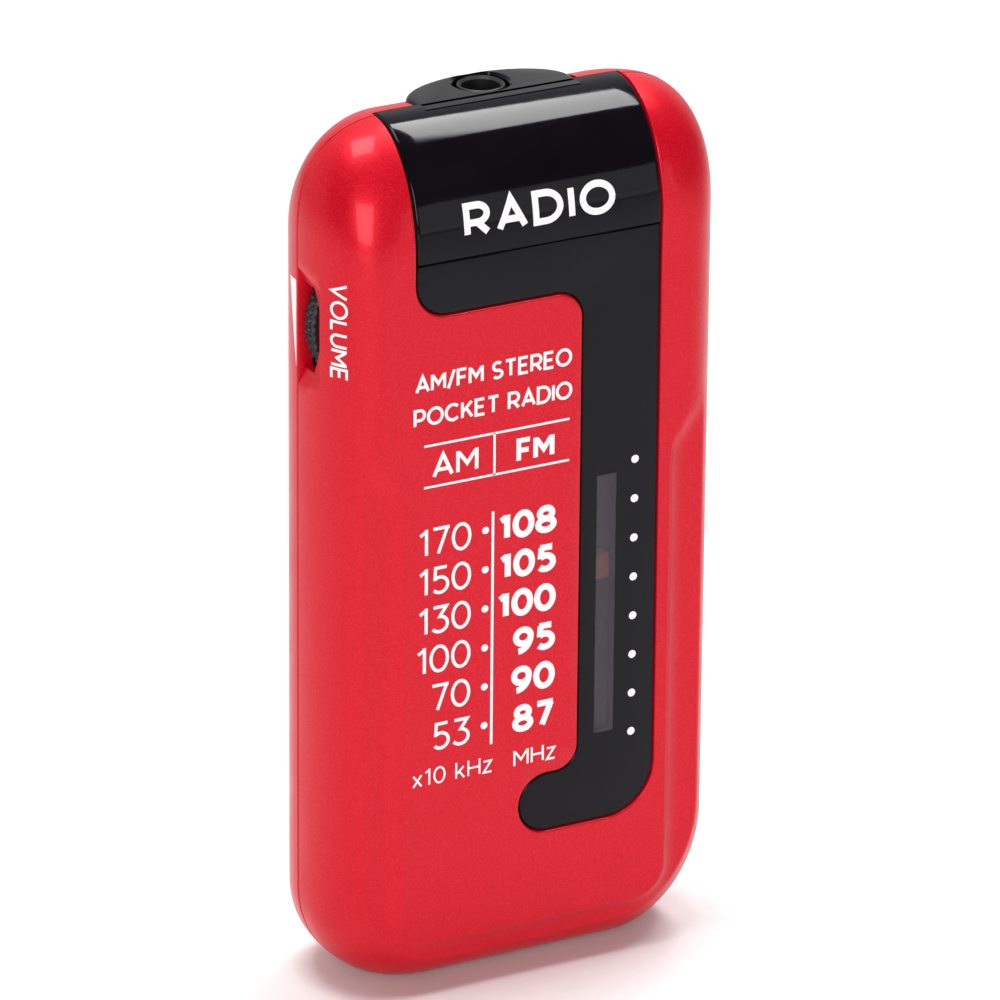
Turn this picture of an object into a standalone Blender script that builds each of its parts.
"""Pocket AM/FM radio with an earphone socket, modelled piece by piece.

Frame: +Z up, front face towards -Y, origin at the middle of the underside.
Sizes below are in millimetres. A place is given as (x, t, z), where t is the depth
behind the front face; to_world turns it into metres, with the depth centred on Y = 0.
"""

import bmesh
import bpy
from math import atan2, cos, hypot, pi, sin, sqrt, tan

MM = 0.001

# Case
HEIGHT = 85.7
HALF_WIDTH = 20.7
DEPTH = 17.0
SEAM = 8.3              # depth of the widest section, where the two shells meet
GAP = 0.3               # running gap between neighbouring pieces
WALL = 1.6
FRONT_WALL = 2.4
BACK_WALL = 1.2
FACE_HALF_WIDTH = 15.7  # flat of the front face
BACK_HALF_WIDTH = 11.0  # flat of the back
TOP_DROP_FRONT = 11.5   # height lost by the front face under the crown
TOP_DROP_BACK = 8.0
BASE_RISE_FRONT = 6.3
BASE_RISE_BACK = 5.0
BASE_FRONT = 7.0        # the flat underside runs between these two depths
BASE_BACK = 13.4
CORNER_STEPS = 6

# Stepped ledge round the lower front
LEDGE_DEPTH = 0.9
PLATEAU_HALF_WIDTH = 14.0
PLATEAU_BOTTOM = 5.5
LEDGE_TOP = 53.2

# Black top cap and dial lens
BAND_HALF_WIDTH = 12.8
CAP_BOTTOM = 73.7
CAP_THICK = 1.2
TRIM_GAP = 0.15
BOSS_HALF_WIDTH = 8.4
BOSS_CENTRE_DEPTH = 10.0
BOSS_REACH = 4.7
BOSS_BOTTOM = 82.1
LENS_FRONT = 0.15
LENS_THICK = 1.2
LENS_BAR_LEFT = 4.6
LENS_SHOULDER = 68.5
LENS_BOTTOM = 14.6
LENS_FOOT_TOP = 20.4
LENS_FOOT_LEFT = -1.6
WINDOW = (6.3, 23.0, 8.6, 49.6)     # x, z, x, z

# Headphone socket
JACK_X = 0.0
JACK_DEPTH = 11.8
JACK_BORE = 1.85
COLLAR_RADIUS = 2.3
CAP_HOLE_RADIUS = 2.65

# Volume wheel, left
VOLUME_X = -13.4
VOLUME_Z = 66.6
VOLUME_RADIUS = 6.9
VOLUME_FRONT = 6.5
VOLUME_BACK = 8.05
VOLUME_SLOT_HALF = 4.9

# Tuning wheel, right, with the pinion that drives the pointer rack
TUNING_X = 12.3
TUNING_Z = 56.4
TUNING_RADIUS = 7.9
TUNING_FRONT = 6.5
TUNING_BACK = 8.05
PINION_PITCH_RADIUS = 4.7
PINION_TEETH = 19
PINION_FRONT = 2.8
PINION_BACK = 4.1
POINTER_Z = 39.8
POINTER_UP = 7.5
POINTER_DOWN = 14.7
KNURL_DEPTH = 0.35
SCOOP_RADIUS = 12.7
SCOOP_FLOOR = 19.3      # distance of the finger scoops' floors from the middle

# Board and battery
BOARD_FRONT = 8.7
BOARD_BACK = 9.7
BOARD_BOTTOM = 50.5
CELL_RADIUS = 5.25
CELL_LENGTH = 44.5
CELL_DEPTH = 10.4
CELL_X = 5.5
SWITCH_Z = 67.7
SWITCH_DEPTH = 11.2
SWITCH_TRAVEL = 2.2
COVER_HALF_WIDTH = 12.5
COVER_BOTTOM = 6.8
COVER_TOP = 49.7


def to_world(x, t, z):
    return (x * MM, (t - DEPTH / 2) * MM, z * MM)


def lerp(a, b, f):
    return a + (b - a) * f


# ---------------------------------------------------------------- outlines

def circle(cu, cv, radius, steps, start=0.0):
    return [(cu + radius * cos(start + 2 * pi * i / steps),
             cv + radius * sin(start + 2 * pi * i / steps)) for i in range(steps)]


def rounded_polygon(corners, steps=5):
    """Outline through (u, v, radius) corners, each rounded by an arc."""
    points = []
    count = len(corners)
    for i, (u, v, radius) in enumerate(corners):
        if radius <= 0:
            points.append((u, v))
            continue
        before = corners[i - 1]
        after = corners[(i + 1) % count]
        length_a = hypot(before[0] - u, before[1] - v)
        length_b = hypot(after[0] - u, after[1] - v)
        a = ((before[0] - u) / length_a, (before[1] - v) / length_a)
        b = ((after[0] - u) / length_b, (after[1] - v) / length_b)
        half_angle = atan2(abs(a[0] * b[1] - a[1] * b[0]), a[0] * b[0] + a[1] * b[1]) / 2
        middle = (a[0] + b[0], a[1] + b[1])
        scale = radius / sin(half_angle) / hypot(*middle)
        centre = (u + middle[0] * scale, v + middle[1] * scale)
        reach = radius / tan(half_angle)
        start = atan2(v + a[1] * reach - centre[1], u + a[0] * reach - centre[0])
        end = atan2(v + b[1] * reach - centre[1], u + b[0] * reach - centre[0])
        sweep = (end - start + pi) % (2 * pi) - pi
        for k in range(steps + 1):
            angle = start + sweep * k / steps
            points.append((centre[0] + radius * cos(angle), centre[1] + radius * sin(angle)))
    return points


def rounded_rectangle(u0, v0, u1, v1, radius, steps=4):
    return rounded_polygon([(u0, v0, radius), (u1, v0, radius), (u1, v1, radius), (u0, v1, radius)], steps)


def soft_corner(half, edge, ru, rv, quarter, power=2.0):
    """Quarter superellipse that meets the side at u = half (or -half) and the end at v = edge."""
    side = 1 if quarter in (0, 3) else -1
    end = 1 if quarter in (0, 1) else -1
    points = []
    for k in range(CORNER_STEPS + 1):
        angle = pi / 2 * (k if quarter in (0, 2) else CORNER_STEPS - k) / CORNER_STEPS
        u = half - ru * (1 - max(0.0, cos(angle)) ** (2 / power))
        v = edge - end * rv * (1 - max(0.0, sin(angle)) ** (2 / power))
        points.append((side * u, v))
    return points


def fullness(t):
    """1 at the seam and 0 at the front and back faces, along a quarter ellipse."""
    share = 1 - t / SEAM if t < SEAM else (t - SEAM) / (DEPTH - SEAM)
    return sqrt(max(0.0, 1 - share * share))


def base_height(t):
    if t < BASE_FRONT:
        share = 1 - max(t, 0.0) / BASE_FRONT
        return BASE_RISE_FRONT * (1 - sqrt(max(0.0, 1 - share * share)))
    share = max(0.0, (t - BASE_BACK) / (DEPTH - BASE_BACK))
    return BASE_RISE_BACK * (1 - sqrt(max(0.0, 1 - share * share)))


def case_outline(t, inset=0.0):
    """The case's outline in X and Z at depth t, moved in by inset."""
    full = fullness(t)
    in_front = t < SEAM
    half = lerp(FACE_HALF_WIDTH if in_front else BACK_HALF_WIDTH, HALF_WIDTH, full) - inset
    top = HEIGHT - (TOP_DROP_FRONT if in_front else TOP_DROP_BACK) * (1 - full) - inset
    bottom = base_height(t) + inset
    swell = sin(pi * full) if in_front else 0.0
    trim = inset * 0.5
    top_x = lerp(3.5 if in_front else 3.0, 9.5, full) - trim
    top_z = lerp(4.5 if in_front else 4.0, 10.5, full) - trim
    base_x = lerp(4.5 if in_front else 3.0, 9.5, full) + 2.0 * swell - trim
    base_z = lerp(5.0 if in_front else 3.0, 10.0, full) + 3.5 * swell - trim
    power = 2.5 if in_front else 2.0 + 0.5 * full ** 20
    return (soft_corner(half, top, top_x, top_z, 0, power) + soft_corner(half, top, top_x, top_z, 1, power)
            + soft_corner(half, bottom, base_x, base_z, 2) + soft_corner(half, bottom, base_x, base_z, 3))


def front_depths(first, last, steps=7):
    depths = [SEAM * (1 - cos(k * pi / 2 / steps)) for k in range(steps)] + [BASE_FRONT]
    return [first] + sorted(d for d in depths if first + 0.1 < d < last - 0.1) + [last]


def back_depths(first, last, steps=7):
    depths = [SEAM + (DEPTH - SEAM) * sin(k * pi / 2 / steps) for k in range(steps)] + [BASE_BACK]
    return [first] + sorted(d for d in depths if first + 0.1 < d < last - 0.1) + [last]


# ---------------------------------------------------------------- solids

def material(name, colour, roughness, metallic=0.0):
    mat = bpy.data.materials.new(name)
    mat.use_nodes = True
    shader = mat.node_tree.nodes["Principled BSDF"]
    shader.inputs["Base Color"].default_value = (*colour, 1.0)
    shader.inputs["Roughness"].default_value = roughness
    shader.inputs["Metallic"].default_value = metallic
    return mat


def new_object(name, points, faces, finish=None, axis=None):
    """A mesh object from (x, t, z) points; its origin goes to axis when one is given."""
    origin = to_world(*axis) if axis else (0.0, 0.0, 0.0)
    mesh = bpy.data.meshes.new(name)
    verts = []
    for point in points:
        world = to_world(*point)
        verts.append([world[i] - origin[i] for i in range(3)])
    mesh.from_pydata(verts, [], faces)
    work = bmesh.new()
    work.from_mesh(mesh)
    bmesh.ops.recalc_face_normals(work, faces=work.faces)
    work.to_mesh(mesh)
    work.free()
    mesh.shade_smooth()
    mesh.set_sharp_from_angle(angle=pi / 6)
    obj = bpy.data.objects.new(name, mesh)
    obj.location = origin
    bpy.context.collection.objects.link(obj)
    if finish:
        mesh.materials.append(material(name, *finish))
    return obj


def swap(direction, u, v, w):
    """Point from outline coordinates: the outline lies across the named direction."""
    if direction == "Y":
        return (u, w, v)
    if direction == "Z":
        return (u, v, w)
    return (w, u, v)


def loft(name, levels, direction="Y", finish=None, axis=None):
    """Closed solid through (distance, outline) levels whose outlines match point for point."""
    count = len(levels[0][1])
    points = [swap(direction, u, v, w) for w, outline in levels for u, v in outline]
    faces = []
    for level in range(len(levels) - 1):
        for i in range(count):
            j = (i + 1) % count
            near = level * count
            far = near + count
            faces.append((near + i, near + j, far + j, far + i))
    faces.append(tuple(range(count)))
    faces.append(tuple(range((len(levels) - 1) * count, len(levels) * count)))
    return new_object(name, points, faces, finish, axis)


def prism(name, outline, low, high, direction="Y", finish=None, axis=None):
    return loft(name, [(low, outline), (high, outline)], direction, finish, axis)


def block(name, low, high, finish=None, axis=None):
    outline = [(low[0], low[2]), (high[0], low[2]), (high[0], high[2]), (low[0], high[2])]
    return prism(name, outline, low[1], high[1], "Y", finish, axis)


def turned(name, centre, profile, direction="Y", steps=20, finish=None, axis=None):
    """Solid of revolution from (distance, radius) steps along the named direction."""
    levels = [(w, circle(centre[0], centre[1], radius, steps)) for w, radius in profile]
    return loft(name, levels, direction, finish, axis)


def combine(target, other, operation):
    step = target.modifiers.new(operation.lower() + "_" + other.name, "BOOLEAN")
    step.operation = operation
    step.solver = "EXACT"
    step.object = other
    other.hide_render = True
    other.display_type = "WIRE"


def cut(target, cutter):
    combine(target, cutter, "DIFFERENCE")


def join(target, other):
    combine(target, other, "UNION")


# ---------------------------------------------------------------- case

RED = ((0.62, 0.03, 0.05), 0.35, 0.5)
BLACK = ((0.015, 0.014, 0.018), 0.12)
DARK = ((0.02, 0.02, 0.022), 0.5)
STEEL = ((0.6, 0.6, 0.6), 0.3, 1.0)
SCREW_PLACES = ((-14.2, 77.1), (14.2, 77.1), (-15.3, 8.5), (15.3, 8.5))


def ledge_cutter():
    """The U-shaped region outside the raised plateau, open to the case's sides and base."""
    outside = HALF_WIDTH + 3
    tip = 18.8
    corners = [(-outside, -3, 0), (outside, -3, 0), (outside, LEDGE_TOP + 4.5, 0),
               (tip, LEDGE_TOP + 4.5, 2.0), (PLATEAU_HALF_WIDTH, LEDGE_TOP - 2.0, 3.0),
               (PLATEAU_HALF_WIDTH, PLATEAU_BOTTOM, 3.0), (-PLATEAU_HALF_WIDTH, PLATEAU_BOTTOM, 3.0),
               (-PLATEAU_HALF_WIDTH, LEDGE_TOP - 2.0, 3.0), (-tip, LEDGE_TOP + 4.5, 2.0),
               (-outside, LEDGE_TOP + 4.5, 0)]
    return prism("cut_ledge", rounded_polygon(corners, 4), -1.0, LEDGE_DEPTH)


def lens_outline(grow):
    """The J-shaped lens: a strip under the cap, a bar on the right and a foot turned left."""
    right = BAND_HALF_WIDTH - TRIM_GAP + grow
    top = CAP_BOTTOM - TRIM_GAP / 2 + grow
    foot_radius = (LENS_FOOT_TOP - LENS_BOTTOM) / 2 - 0.01 + grow
    return rounded_polygon([
        (-right, top, 0),
        (-right, LENS_SHOULDER - grow, 3.2 + grow),
        (LENS_BAR_LEFT - grow, LENS_SHOULDER - grow, 2.7 - grow),
        (LENS_BAR_LEFT - grow, LENS_FOOT_TOP + grow, 2.5 - grow),
        (LENS_FOOT_LEFT - grow, LENS_FOOT_TOP + grow, foot_radius),
        (LENS_FOOT_LEFT - grow, LENS_BOTTOM - grow, foot_radius),
        (right, LENS_BOTTOM - grow, 5.0 + grow),
        (right, top, 0)])


def wheel_scoop(name, side, z, front, back):
    """Finger scoop beside a thumb wheel: a shallow trough along Y in the side wall."""
    centre = side * (SCOOP_FLOOR + SCOOP_RADIUS)
    return prism(name, circle(centre, z, SCOOP_RADIUS, 56, pi / 56), front, back)


def front_shell():
    depths = front_depths(0.0, SEAM - GAP / 2)
    shell = loft("front_shell", [(t, case_outline(t)) for t in depths], finish=RED)
    hollow = loft("cut_front_hollow",
                  [(t, case_outline(t, WALL)) for t in front_depths(FRONT_WALL, SEAM + 1, 6)])
    for k, (x, z) in enumerate(SCREW_PLACES):
        cut(hollow, turned("keep_front_boss_%d" % k, (x, z), [(0.5, 2.1), (SEAM - 0.5, 2.1)], steps=16))
    cut(shell, hollow)
    for k, (x, z) in enumerate(SCREW_PLACES):
        cut(shell, turned("cut_front_pilot_%d" % k, (x, z), [(4.5, 1.2), (SEAM + 1, 1.2)], steps=12))
    cut(shell, ledge_cutter())
    cut(shell, prism("cut_lens_seat", lens_outline(TRIM_GAP), -1.0, LENS_FRONT + LENS_THICK + GAP / 2))
    half = BAND_HALF_WIDTH
    cut(shell, block("cut_front_cap", (-half, -1, CAP_BOTTOM), (half, SEAM + 1, HEIGHT + 1)))
    x0, z0, x1, z1 = WINDOW
    cut(shell, prism("cut_window", rounded_rectangle(x0, z0, x1, z1, 0.3, 2), 0.5, FRONT_WALL + 1))
    cut(shell, wheel_scoop("cut_volume_scoop", -1, VOLUME_Z, 4.8, SEAM + 1.4))
    cut(shell, block("cut_volume_slot", (-HALF_WIDTH - 1, VOLUME_FRONT - GAP, VOLUME_Z - VOLUME_SLOT_HALF),
                     (-17.0, SEAM + 1, VOLUME_Z + VOLUME_SLOT_HALF)))
    cut(shell, wheel_scoop("cut_tuning_scoop", 1, TUNING_Z, 4.8, SEAM + 1.4))
    cut(shell, block("cut_tuning_slot", (17.0, TUNING_FRONT - GAP, TUNING_Z - 5.3),
                     (HALF_WIDTH + 1, SEAM + 1, TUNING_Z + 5.3)))
    return shell


def boss_outline(grow):
    """The rounded lobe behind the crown that carries the headphone socket, in X and depth."""
    half = BOSS_HALF_WIDTH + grow
    reach = BOSS_REACH + grow
    lobe = [(half * cos(k * pi / 16), BOSS_CENTRE_DEPTH + reach * sin(k * pi / 16)) for k in range(17)]
    return [(half, SEAM - 1)] + lobe + [(-half, SEAM - 1)]


def back_shell():
    depths = back_depths(SEAM + GAP / 2, DEPTH)
    shell = loft("back_shell", [(t, case_outline(t)) for t in depths], finish=RED)
    hollow = loft("cut_back_hollow",
                  [(t, case_outline(t, WALL)) for t in back_depths(SEAM - 1, DEPTH - BACK_WALL, 6)])
    for k, (x, z) in enumerate(SCREW_PLACES):
        cut(hollow, turned("keep_back_boss_%d" % k, (x, z), [(SEAM + 0.6, 2.9), (DEPTH, 2.9)], steps=16))
    cut(shell, hollow)
    for k, (x, z) in enumerate(SCREW_PLACES):
        cut(shell, turned("cut_back_screw_%d" % k, (x, z),
                          [(SEAM - 1, 1.2), (11.0, 1.2), (11.01, 2.1), (DEPTH + 1, 2.1)], steps=16))
    cut(shell, prism("cut_back_boss", boss_outline(GAP), BOSS_BOTTOM - 3, HEIGHT + 1, "Z"))
    half = BAND_HALF_WIDTH
    cut(shell, block("cut_back_cap", (-half, SEAM - 1, BOSS_BOTTOM - 3), (half, SEAM + 0.8, HEIGHT + 1)))
    cut(shell, prism("cut_cover_opening",
                     rounded_rectangle(-COVER_HALF_WIDTH, COVER_BOTTOM, COVER_HALF_WIDTH, COVER_TOP, 2.0),
                     DEPTH - 3, DEPTH + 1))
    cut(shell, block("cut_strap_top", (9.2, 11.9, 79.2), (11.3, 13.7, HEIGHT + 1)))
    cut(shell, block("cut_strap_back", (9.2, 13.0, 77.4), (11.3, DEPTH + 1, 79.4)))
    cut(shell, prism("cut_switch_well",
                     rounded_rectangle(SWITCH_DEPTH - 1.2, SWITCH_Z - 3.9, SWITCH_DEPTH + 1.2,
                                       SWITCH_Z + 3.9, 1.1, 3), 19.7, HALF_WIDTH + 1, "X"))
    cut(shell, block("cut_switch_slot", (17.0, SWITCH_DEPTH - 1.0, SWITCH_Z - 3.1),
                     (HALF_WIDTH, SWITCH_DEPTH + 1.0, SWITCH_Z + 3.1)))
    return shell


def top_cap():
    """Black cap that runs from the front face over the crown to the socket boss."""
    half = BAND_HALF_WIDTH - TRIM_GAP
    steps = 8
    low = CAP_BOTTOM + TRIM_GAP / 2
    crown = HEIGHT - TOP_DROP_FRONT

    def arch(inset):
        return [((SEAM - (SEAM - inset) * cos(k * pi / 2 / steps)),
                 crown + (TOP_DROP_FRONT - inset) * sin(k * pi / 2 / steps)) for k in range(steps + 1)]

    outline = ([(0.0, low)] + arch(0.0) + [(SEAM + 0.5, HEIGHT), (SEAM + 0.5, HEIGHT - CAP_THICK)]
               + arch(CAP_THICK)[::-1] + [(CAP_THICK, low)])
    cap = prism("top_cap", outline, -half, half, "X", BLACK)
    join(cap, prism("add_boss", boss_outline(0.0), BOSS_BOTTOM, HEIGHT, "Z"))
    cut(cap, turned("cut_collar_hole", (JACK_X, JACK_DEPTH),
                    [(BOSS_BOTTOM - 1, CAP_HOLE_RADIUS), (HEIGHT + 1, CAP_HOLE_RADIUS)], "Z", 24))
    return cap


def dial_lens():
    return prism("dial_lens", lens_outline(0.0), LENS_FRONT, LENS_FRONT + LENS_THICK, finish=BLACK)


def battery_cover():
    """Snap-in door whose outside follows the back of the case."""
    clear = 0.25
    outline = rounded_rectangle(-COVER_HALF_WIDTH + clear, COVER_BOTTOM + clear,
                                COVER_HALF_WIDTH - clear, COVER_TOP - clear, 1.8)
    cover = prism("battery_cover", outline, DEPTH - BACK_WALL + 0.1, DEPTH + 1, finish=RED)
    skin = loft("trim_cover", [(t, case_outline(t)) for t in back_depths(SEAM, DEPTH, 10)])
    combine(cover, skin, "INTERSECT")
    cut(cover, prism("cut_cover_grip", rounded_rectangle(-4.0, 45.4, 4.0, 47.0, 0.75, 3),
                     DEPTH - 0.5, DEPTH + 1))
    return cover


def case_screws():
    for k, (x, z) in enumerate(SCREW_PLACES):
        screw = turned("case_screw_%d" % (k + 1), (x, z),
                       [(5.2, 0.85), (11.3, 0.85), (11.31, 1.7), (12.6, 1.7)], steps=14, finish=STEEL)
        cross = 0.28
        cut(screw, block("cut_cross_a_%d" % k, (x - 1.1, 12.0, z - cross), (x + 1.1, 13.0, z + cross)))
        cut(screw, block("cut_cross_b_%d" % k, (x - cross, 12.0, z - 1.1), (x + cross, 13.0, z + 1.1)))


# ---------------------------------------------------------------- volume

def knurled_outline(cx, cz, radius, teeth):
    points = []
    for k in range(teeth * 4):
        step = k % 4
        r = radius if step < 2 else radius - KNURL_DEPTH
        points.append(circle(cx, cz, r, teeth * 4)[k])
    return points


def thumb_wheel(name, x, z, radius, front, back, teeth):
    axis = (x, (front + back) / 2, z)
    wheel = prism(name, knurled_outline(x, z, radius, teeth), front, back, finish=DARK, axis=axis)
    join(wheel, turned("add_shaft_" + name, (x, z), [(back - 0.5, 1.6), (BOARD_BACK + 0.2, 1.6)], steps=16))
    cut(wheel, turned("cut_bore_" + name, (x, z), [(front - 1, 0.9), (BOARD_BACK - 0.2, 0.9)], steps=12))
    return wheel


def volume_parts():
    thumb_wheel("volume_wheel", VOLUME_X, VOLUME_Z, VOLUME_RADIUS, VOLUME_FRONT, VOLUME_BACK, 44)
    turned("volume_screw", (VOLUME_X, VOLUME_Z), [(5.4, 1.7), (6.2, 1.7), (6.21, 0.6), (8.9, 0.6)],
           steps=14, finish=STEEL, axis=(VOLUME_X, 6.2, VOLUME_Z))
    prism("volume_control", rounded_rectangle(VOLUME_X - 4.2, VOLUME_Z - 4.2, VOLUME_X + 4.2,
                                              VOLUME_Z + 4.2, 1.5, 3), BOARD_BACK + 0.5, 12.6,
          finish=((0.55, 0.55, 0.57), 0.4, 0.8))


# ---------------------------------------------------------------- tuning and dial

TOOTH_TIP = 0.25        # tooth height above the pitch line, and depth below it
TOOTH_ROOT = 0.5
TIP_HALF = 0.16         # half thickness of a tooth at its tip, and at its root
ROOT_HALF = 0.42


def pinion_outline():
    """Tooth 0 points at the rack, towards -X; each tooth is a plain trapezoid."""
    points = []
    for k in range(PINION_TEETH):
        middle = pi + 2 * pi * k / PINION_TEETH
        for radius, half in ((PINION_PITCH_RADIUS - TOOTH_ROOT, -ROOT_HALF),
                             (PINION_PITCH_RADIUS + TOOTH_TIP, -TIP_HALF),
                             (PINION_PITCH_RADIUS + TOOTH_TIP, TIP_HALF),
                             (PINION_PITCH_RADIUS - TOOTH_ROOT, ROOT_HALF)):
            angle = middle + half / radius
            points.append((TUNING_X + radius * cos(angle), TUNING_Z + radius * sin(angle)))
    return points


def rack_outline():
    """The pointer slide: a carrier plate, and a toothed bar up past the pinion."""
    pitch = 2 * pi * PINION_PITCH_RADIUS / PINION_TEETH
    line = TUNING_X - PINION_PITCH_RADIUS
    low = TUNING_Z - POINTER_UP
    high = TUNING_Z + POINTER_DOWN
    teeth = []
    first = -int((TUNING_Z - low) / pitch) - 1
    last = int((high - TUNING_Z) / pitch)
    for k in range(first, last + 1):
        z = TUNING_Z + (k + 0.5) * pitch
        teeth += [(line - TOOTH_ROOT, z - ROOT_HALF), (line + TOOTH_TIP, z - TIP_HALF),
                  (line + TOOTH_TIP, z + TIP_HALF), (line - TOOTH_ROOT, z + ROOT_HALF)]
    bar_left = line - 1.7
    top = TUNING_Z + (last + 0.5) * pitch + 0.5
    carrier = 3.0
    return ([(bar_left, top), (bar_left, POINTER_Z + carrier), (5.7, POINTER_Z + carrier),
             (5.7, POINTER_Z - carrier), (9.2, POINTER_Z - carrier), (9.2, POINTER_Z + carrier),
             (line - TOOTH_ROOT, POINTER_Z + carrier)]
            + teeth + [(line - TOOTH_ROOT, top)])


def tuning_parts():
    thumb_wheel("tuning_wheel", TUNING_X, TUNING_Z, TUNING_RADIUS, TUNING_FRONT, TUNING_BACK, 46)
    pinion = prism("tuning_pinion", pinion_outline(), PINION_FRONT, PINION_BACK,
                   finish=((0.8, 0.8, 0.76), 0.4), axis=(TUNING_X, PINION_FRONT, TUNING_Z))
    join(pinion, turned("add_pinion_hub", (TUNING_X, TUNING_Z),
                        [(PINION_BACK - 0.3, 2.6), (TUNING_FRONT - GAP, 2.6)], steps=18))
    cut(pinion, turned("cut_pinion_bore", (TUNING_X, TUNING_Z),
                       [(PINION_FRONT - 1, 1.95), (3.6, 1.95), (3.61, 0.9), (TUNING_FRONT, 0.9)], steps=16))
    turned("tuning_screw", (TUNING_X, TUNING_Z), [(2.75, 1.6), (3.3, 1.6), (3.31, 0.6), (8.9, 0.6)],
           steps=14, finish=STEEL, axis=(TUNING_X, PINION_FRONT, TUNING_Z))
    prism("tuning_capacitor", rounded_rectangle(TUNING_X - 4.6, TUNING_Z - 4.6, TUNING_X + 4.6,
                                                TUNING_Z + 4.6, 0.6, 2), BOARD_BACK + 0.5, 13.2,
          finish=((0.75, 0.75, 0.7), 0.35))
    pointer = prism("dial_pointer", rack_outline(), PINION_FRONT, 4.0, finish=((0.7, 0.12, 0.04), 0.4),
                    axis=(7.45, PINION_FRONT, POINTER_Z))
    join(pointer, block("add_pointer_flag", (6.5, 1.75, POINTER_Z - 1.2), (8.4, 3.2, POINTER_Z + 1.2)))
    prism("pointer_guide", rounded_rectangle(4.9, 20.0, 10.2, 48.3, 0.6, 2), 4.2, 4.85, finish=DARK)


def band_switch():
    prism("band_switch_body", rounded_rectangle(12.8, SWITCH_Z - 4.4, 17.4, SWITCH_Z + 4.4, 0.4, 2),
          BOARD_BACK + 0.2, 12.6, finish=STEEL)
    rest = SWITCH_Z - SWITCH_TRAVEL / 2
    knob = block("band_switch_knob", (18.0, SWITCH_DEPTH - 0.7, rest - 1.5),
                 (20.55, SWITCH_DEPTH + 0.7, rest + 1.5),
                 DARK, axis=(18.0, SWITCH_DEPTH, rest))
    for k in (-1, 0, 1):
        z = rest + 0.9 * k
        cut(knob, block("cut_knob_rib_%d" % (k + 1), (20.2, SWITCH_DEPTH - 1, z - 0.2),
                        (21, SWITCH_DEPTH + 1, z + 0.2)))


# ---------------------------------------------------------------- socket and board

def headphone_socket():
    jack = block("headphone_jack", (-3.2, 10.0, 71.0), (3.2, 14.4, 81.1), DARK)
    cut(jack, turned("cut_jack_bore", (JACK_X, JACK_DEPTH), [(72.5, 1.75), (83.0, 1.75)], "Z", 20))
    collar = turned("jack_collar", (JACK_X, JACK_DEPTH), [(81.4, COLLAR_RADIUS), (85.6, COLLAR_RADIUS)],
                    "Z", 24, finish=DARK)
    cut(collar, turned("cut_collar_bore", (JACK_X, JACK_DEPTH), [(81.0, JACK_BORE), (86.5, JACK_BORE)], "Z", 24))


def main_board():
    outline = rounded_polygon([(-17.3, BOARD_BOTTOM, 1.0), (17.3, BOARD_BOTTOM, 1.0), (17.3, 73.0, 1.0),
                               (9.0, 73.0, 0.6), (9.0, 81.0, 0.6), (-9.0, 81.0, 0.6), (-9.0, 73.0, 0.6),
                               (-17.3, 73.0, 1.0)], 2)
    board = prism("main_board", outline, BOARD_FRONT, BOARD_BACK, finish=((0.02, 0.18, 0.07), 0.4))
    for name, x, z in (("volume", VOLUME_X, VOLUME_Z), ("tuning", TUNING_X, TUNING_Z)):
        cut(board, turned("cut_board_" + name, (x, z), [(BOARD_FRONT - 1, 2.0), (BOARD_BACK + 1, 2.0)], steps=16))


def board_components():
    back = BOARD_BACK + 0.2
    chip = ((0.02, 0.02, 0.02), 0.5)
    block("radio_chip", (-6.5, back, 56.0), (0.5, back + 1.6, 63.0), chip)
    block("amplifier_chip", (-16.0, back, 52.8), (-11.2, back + 1.5, 57.0), chip)
    for name, x, z in (("oscillator_coil", -6.0, 65.5), ("filter_coil", 1.0, 65.5)):
        can = block(name, (x, back, z), (x + 5.0, back + 5.6, z + 5.0), STEEL)
        cut(can, turned("cut_core_" + name, (x + 2.5, z + 2.5), [(back + 5.1, 1.3), (back + 6, 1.3)], steps=12))
    block("ceramic_filter", (2.2, back, 57.0), (4.6, back + 4.5, 63.4), ((0.6, 0.25, 0.05), 0.5))
    for k, x in enumerate((-7.6, -1.4)):
        turned("filter_capacitor_%d" % (k + 1), (x, 53.4), [(back, 2.3), (back + 5.4, 2.3)],
               steps=18, finish=((0.03, 0.04, 0.1), 0.35))


def aerial():
    x = -15.0
    turned("ferrite_rod", (x, 9.7), [(12.2, 2.3), (46.0, 2.3)], "Z", 18, finish=((0.06, 0.055, 0.05), 0.6))
    coil = turned("aerial_coil", (x, 9.7), [(20.0, 3.2), (34.0, 3.2)], "Z", 20, finish=((0.6, 0.22, 0.05), 0.4, 0.6))
    cut(coil, turned("cut_coil_bore", (x, 9.7), [(19.0, 2.5), (35.0, 2.5)], "Z", 18))


# ---------------------------------------------------------------- battery

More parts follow.
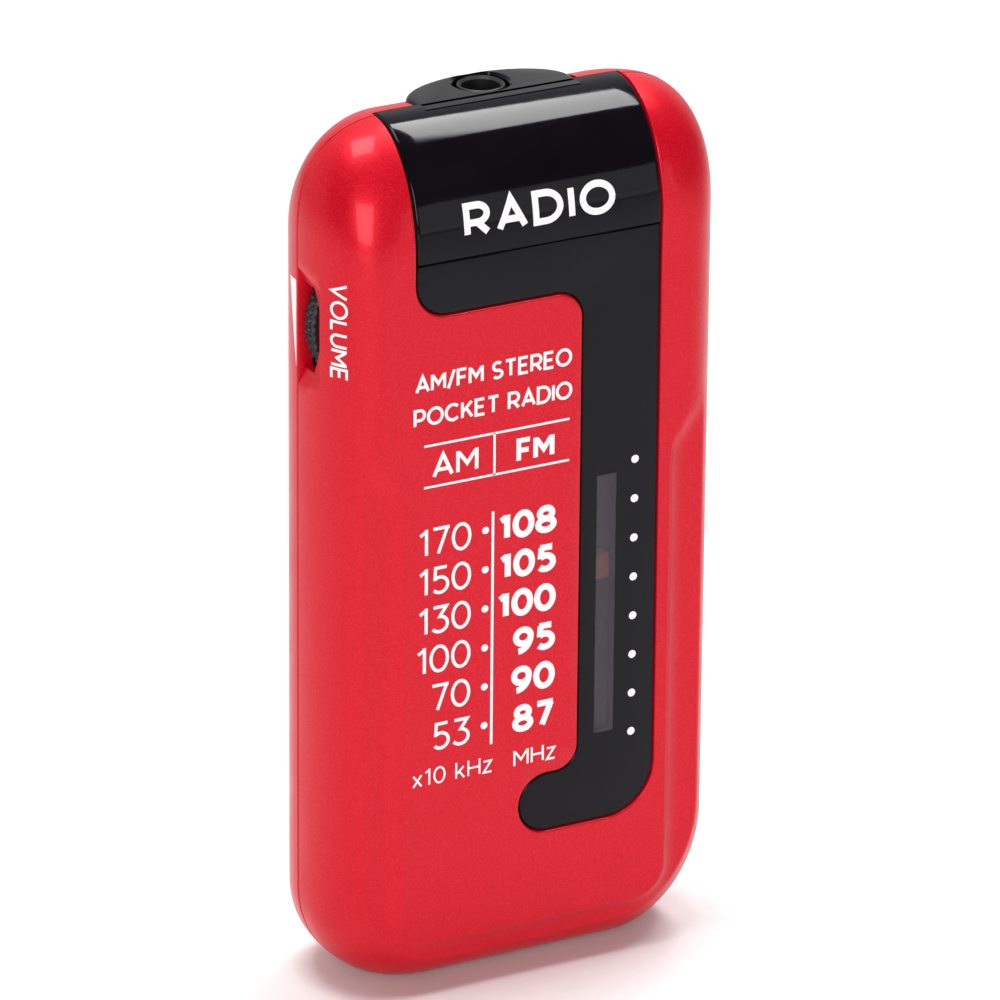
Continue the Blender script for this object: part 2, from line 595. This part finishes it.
def battery_cell(name, x, low, upright):
    """AAA cell: a plain can with its small contact nub at the top or at the bottom."""
    nub = 0.8
    high = low + CELL_LENGTH
    if upright:
        profile = [(low, CELL_RADIUS - 0.4), (low + 0.4, CELL_RADIUS), (high - nub - 0.4, CELL_RADIUS),
                   (high - nub, CELL_RADIUS - 0.4), (high - nub + 0.01, 1.9), (high, 1.9)]
    else:
        profile = [(low, 1.9), (low + nub, 1.9), (low + nub + 0.01, CELL_RADIUS - 0.4),
                   (low + nub + 0.4, CELL_RADIUS), (high - 0.4, CELL_RADIUS), (high, CELL_RADIUS - 0.4)]
    turned(name, (x, CELL_DEPTH), profile, "Z", 24, finish=((0.35, 0.35, 0.36), 0.35, 0.6))


def contact_spring(name, x, low, high):
    """Small conical spring: a wire on a rising spiral."""
    wire = 0.2
    turns = 2.25
    steps = 40
    sides = 6
    rings = []
    for k in range(steps + 1):
        f = k / steps
        angle = 2 * pi * turns * f
        radius = lerp(3.6, 1.6, f)
        centre = (x + radius * cos(angle), CELL_DEPTH + radius * sin(angle), lerp(low + wire, high - wire, f))
        rings.append([(centre[0] + wire * cos(2 * pi * s / sides) * cos(angle),
                       centre[1] + wire * cos(2 * pi * s / sides) * sin(angle),
                       centre[2] + wire * sin(2 * pi * s / sides)) for s in range(sides)])
    points = [p for ring in rings for p in ring]
    faces = [tuple(range(sides)), tuple(range(steps * sides, (steps + 1) * sides))]
    for k in range(steps):
        for s in range(sides):
            n = (s + 1) % sides
            faces.append((k * sides + s, k * sides + n, (k + 1) * sides + n, (k + 1) * sides + s))
    new_object(name, points, faces, STEEL)


def contact_plate(name, low, high):
    prism(name, rounded_rectangle(low[0], low[2], high[0], high[2], 0.15, 2), low[1], high[1], finish=STEEL)


def battery_parts():
    battery_cell("battery_cell_left", -CELL_X, 3.7, True)
    battery_cell("battery_cell_right", CELL_X, 2.6, False)
    contact_plate("battery_link_plate", (-9.8, 7.0, 1.9), (9.8, 12.6, 2.3))
    contact_plate("battery_positive_plate", (-9.4, 6.4, 48.5), (-1.4, 14.2, 48.9))
    contact_plate("battery_negative_plate", (1.4, 6.4, 48.5), (9.4, 14.2, 48.9))
    contact_spring("battery_spring_lower", -CELL_X, 2.6, 3.5)
    contact_spring("battery_spring_upper", CELL_X, 47.35, 48.25)


def main():
    for obj in list(bpy.data.objects):
        bpy.data.objects.remove(obj, do_unlink=True)
    front_shell()
    back_shell()
    top_cap()
    dial_lens()
    battery_cover()
    case_screws()
    volume_parts()
    tuning_parts()
    band_switch()
    headphone_socket()
    main_board()
    board_components()
    aerial()
    battery_parts()


main()
